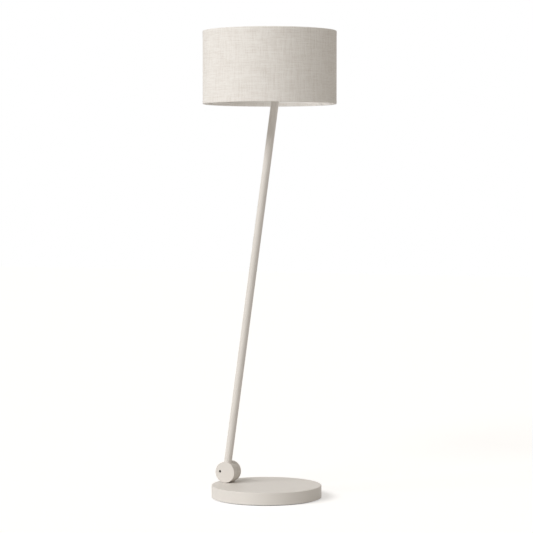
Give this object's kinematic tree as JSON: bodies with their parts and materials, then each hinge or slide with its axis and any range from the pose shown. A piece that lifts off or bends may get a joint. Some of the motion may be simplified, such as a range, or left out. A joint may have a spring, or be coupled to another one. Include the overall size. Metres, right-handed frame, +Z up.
{
  "type": "floor lamp",
  "caption": "Floor lamp with a drum shade on a slim leaning pole, carried by a two-disc tilting hinge at the edge of a round weighted base.",
  "frame": {"origin": "centre of the base's underside, on the floor", "axes": "+Z up, +X the way the pole leans, -Y the hinge's front face"},
  "size_m": [0.429, 0.4291, 1.5],
  "materials": {
    "powder_coat_steel": "fine satin powder coat, warm grey-white",
    "powder_coat_alloy": "fine satin powder coat, warm grey-white",
    "grey_iron": "raw casting",
    "zinc_steel": "zinc plated",
    "black_steel": "black oxide",
    "felt": "dense dark felt",
    "rubber_bush": "moulded rubber",
    "white_plastic": "moulded plastic",
    "black_plastic": "moulded plastic",
    "nylon": "natural nylon",
    "brass_part": "plain brass",
    "nickel_part": "nickel plated",
    "linen": "slubby linen weave",
    "white_liner": "stiff white film",
    "white_wire": "white coated wire",
    "opal": "opal plastic",
    "lead_sheath": "smooth cable sheath"
  },
  "bodies": {
    "base": {"base_cover": "powder_coat_steel", "base_weight": "grey_iron", "bottom_plate": "zinc_steel", "plate_screws": "zinc_steel", "floor_pad": "felt", "cord_inlet": "rubber_bush", "terminal_block": "white_plastic", "terminal_screws": "brass_part", "base_lead": "lead_sheath", "hinge_rear_disc": "powder_coat_alloy", "rear_cap": "powder_coat_alloy", "hinge_bush": "nylon", "friction_washer": "nylon", "foot_screws": "zinc_steel"},
    "pole": {"hinge_front_disc": "powder_coat_alloy", "hinge_axle": "zinc_steel", "thrust_washer": "zinc_steel", "disc_spring": "zinc_steel", "axle_nut": "zinc_steel", "stop_pin": "zinc_steel", "pole_spigot": "zinc_steel", "pole_tube": "powder_coat_steel", "pole_grub_screws": "black_steel", "pole_lead": "lead_sheath", "swivel_lower": "powder_coat_alloy", "swivel_bolt": "nickel_part", "swivel_washer": "zinc_steel", "swivel_nut": "nickel_part"},
    "lock_pad": {"lock_pad": "nylon"},
    "lock_screw": {"lock_screw": "black_steel"},
    "head": {"swivel_arm": "powder_coat_alloy", "holder_nipple": "zinc_steel", "nipple_nut": "zinc_steel", "holder_cap": "white_plastic", "holder_sleeve": "white_plastic", "holder_insert": "white_plastic", "holder_shell": "nickel_part", "holder_contact": "brass_part", "shade_ring_lower": "white_plastic", "shade_ring_upper": "white_plastic", "bulb_cap": "nickel_part", "bulb_housing": "white_plastic", "bulb_globe": "opal", "head_lead": "lead_sheath", "shade_fabric": "linen", "shade_liner": "white_liner", "top_ring": "white_wire", "top_hem": "linen", "lower_hem": "linen", "lower_ring": "white_wire", "shade_frame": "white_wire"}
  },
  "joints": [
    {"name": "pole_tilt", "type": "hinge", "parent": "base", "child": "pole", "pos_m": [-0.1378, 0, 0.0761], "axis": [0, 1, 0], "range_deg": [-8.26, 6.7]},
    {"name": "head_level", "type": "hinge", "parent": "pole", "child": "head", "pos_m": [0.03929, 0, 1.296], "axis": [0, 1, 0], "range_deg": [-20, 20]},
    {"name": "lock_travel", "type": "slide", "parent": "pole", "child": "lock_pad", "axis": [0, -1, 0], "range_m": [0, 0.000625]},
    {"name": "lock_turn", "type": "hinge", "parent": "lock_pad", "child": "lock_screw", "pos_m": [-0.15532, -0.02575, 0.07864], "axis": [0, -1, 0], "range_deg": [0, 180.5]}
  ],
  "couplings": [
    {"joint": "lock_turn", "follows": "lock_travel", "rad_per_m": 5026.5}
  ]
}
